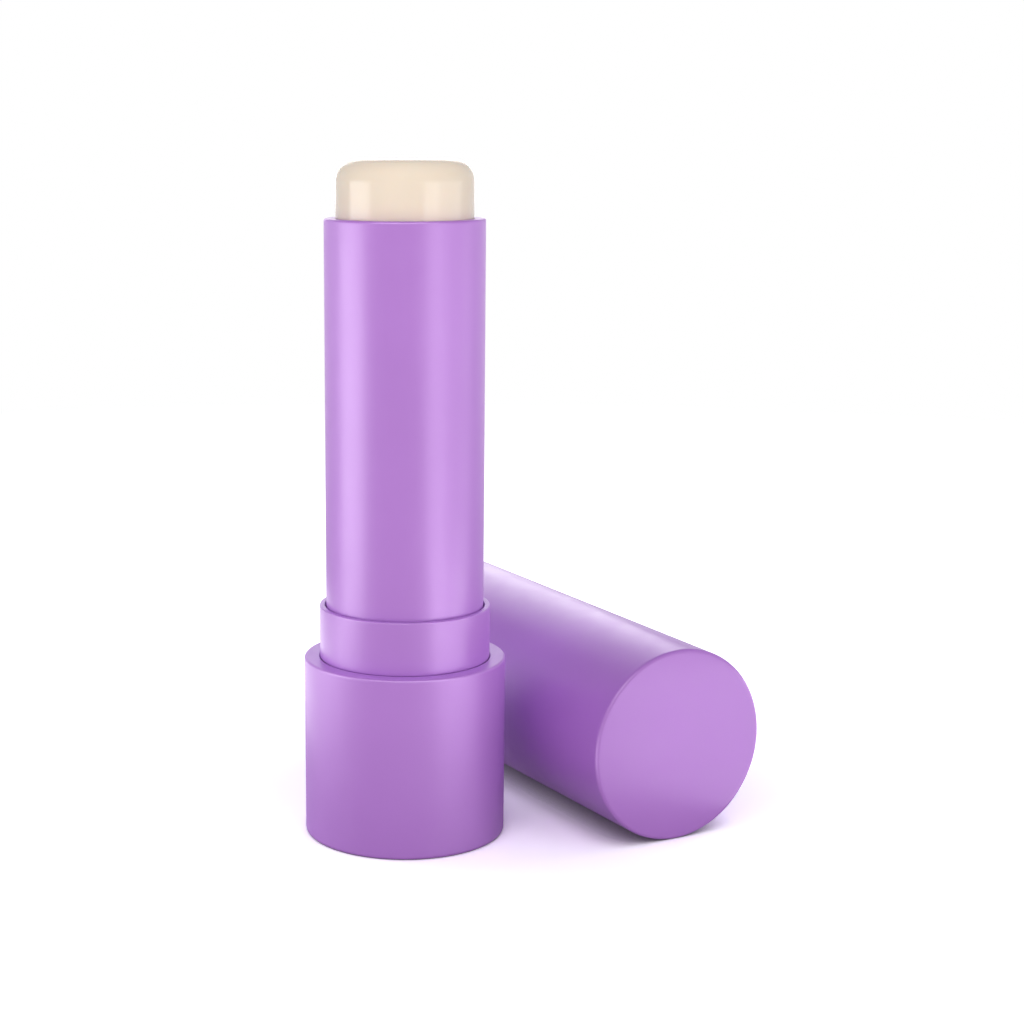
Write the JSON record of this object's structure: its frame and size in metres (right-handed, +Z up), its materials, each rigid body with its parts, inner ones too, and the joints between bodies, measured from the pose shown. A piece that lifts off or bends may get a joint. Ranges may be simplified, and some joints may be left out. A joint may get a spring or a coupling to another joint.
{
  "type": "lip balm stick",
  "caption": "Twist-up lip balm stick with a turning base, a screw-driven elevator that raises the balm, and a loose push-on cap lying beside it.",
  "frame": {"origin": "centre of the base's flat underside, on the stick's axis", "axes": "+Z up along the stick; the loose cap lies at +X with its closed end towards -Y and its mouth towards +Y"},
  "size_m": [0.0392, 0.0428, 0.062],
  "materials": {
    "cap_plastic": "satin, lilac",
    "base_plastic": "satin, lilac",
    "collar_plastic": "satin, lilac",
    "barrel_plastic": "satin, lilac",
    "screw_plastic": "natural white",
    "elevator_plastic": "natural white",
    "balm_wax": "waxy, cream"
  },
  "bodies": {
    "base": {"base_shell": "base_plastic", "collar": "collar_plastic", "drive_screw": "screw_plastic"},
    "barrel": {"barrel": "barrel_plastic"},
    "carrier": {"elevator": "elevator_plastic", "balm": "balm_wax"},
    "cap": {"cap": "cap_plastic"}
  },
  "joints": [
    {"name": "barrel_turn", "type": "hinge", "parent": "base", "child": "barrel", "pos_m": [0, 0, 0], "axis": [0, 0, -1], "range_deg": [-630, 2790]},
    {"name": "balm_rise", "type": "slide", "parent": "barrel", "child": "carrier", "axis": [0, 0, 1], "range_m": [-0.007, 0.031]},
    {"name": "cap_lift", "type": "slide", "parent": "base", "child": "cap", "axis": [0, 0, 1], "range_m": [0, 0.06]}
  ],
  "couplings": [
    {"joint": "barrel_turn", "follows": "balm_rise", "rad_per_m": 1570.8}
  ]
}
